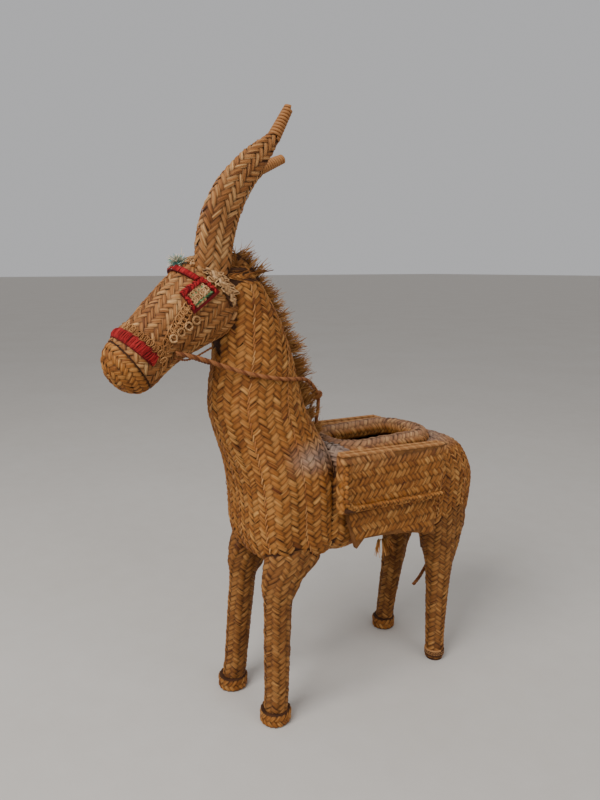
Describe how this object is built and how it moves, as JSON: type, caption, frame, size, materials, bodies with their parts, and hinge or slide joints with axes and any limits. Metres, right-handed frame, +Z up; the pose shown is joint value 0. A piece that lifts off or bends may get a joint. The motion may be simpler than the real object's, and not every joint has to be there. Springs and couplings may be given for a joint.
{
  "type": "woven esparto donkey figure",
  "caption": "Floor-standing donkey figure plaited from esparto grass, hollow basket body open along the back, flat side panniers, bristly mane, folded ears, headstall with red wool and cord reins.",
  "frame": {"origin": "on the floor at the middle of the figure's footprint box", "axes": "+Z up, -Y towards the nose, +X towards the donkey's left side"},
  "size_m": [0.2606, 0.7121, 1.0024],
  "materials": {
    "body_plait": "plaited esparto grass, golden brown, dry and matt",
    "frayed_straw": "frayed straw fibres",
    "pale_lace": "pale looped straw braid",
    "pannier_plait": "plaited esparto grass, yellower, dry and matt",
    "red_wool": "red wool yarn, matt",
    "stick_wood": "peeled sticks, unfinished",
    "straw_filling": "packed loose straw",
    "teal_tuft": "teal and cream yarn tuft",
    "twisted_cord": "twisted esparto cord, reddish brown"
  },
  "bodies": {
    "root": {"back_rim_left": "body_plait", "back_rim_right": "body_plait", "barrel_shell": "body_plait", "blinker_left": "pale_lace", "blinker_right": "pale_lace", "blinker_wool_edging_left": "red_wool", "blinker_wool_edging_right": "red_wool", "browband": "red_wool", "cheek_loops_left": "pale_lace", "cheek_loops_right": "pale_lace", "crown_band_left": "pale_lace", "crown_band_right": "pale_lace", "ear_left": "body_plait", "ear_right": "body_plait", "ear_tip_binding_left": "pale_lace", "ear_tip_binding_right": "pale_lace", "floor_rail": "stick_wood", "foot_binding_hind_left": "body_plait", "forehead_tuft": "teal_tuft", "front_crossbar": "stick_wood", "head_shell": "body_plait", "head_straw_filling": "straw_filling", "hind_crossbar": "stick_wood", "hind_rope_end": "twisted_cord", "hoof_cuff_front_left": "body_plait", "hoof_cuff_front_right": "body_plait", "hoof_cuff_hind_right": "body_plait", "leg_front_left": "body_plait", "leg_front_right": "body_plait", "leg_hind_left": "body_plait", "leg_hind_right": "body_plait", "leg_post_front_left": "stick_wood", "leg_post_front_right": "stick_wood", "leg_post_hind_left": "stick_wood", "leg_post_hind_right": "stick_wood", "loose_strands": "frayed_straw", "mane_band": "body_plait", "mane_tufts": "frayed_straw", "muzzle_cap": "body_plait", "neck_shell": "body_plait", "neck_stake": "stick_wood", "neck_straw_filling": "straw_filling", "noseband": "red_wool", "pannier_braid_left": "pannier_plait", "pannier_braid_right": "pannier_plait", "pannier_left": "pannier_plait", "pannier_lower_panel_left": "pannier_plait", "pannier_lower_panel_right": "pannier_plait", "pannier_right": "pannier_plait", "pannier_rim_cord_left": "twisted_cord", "pannier_rim_cord_right": "twisted_cord", "rein_drop_cord": "twisted_cord", "rein_knot": "twisted_cord", "rein_left": "twisted_cord", "rein_right": "twisted_cord", "rein_ring_left": "twisted_cord", "rein_ring_right": "twisted_cord", "thigh_flap_left": "body_plait", "thin_mane_strand": "twisted_cord", "throat_cord": "twisted_cord"}
  },
  "joints": []
}
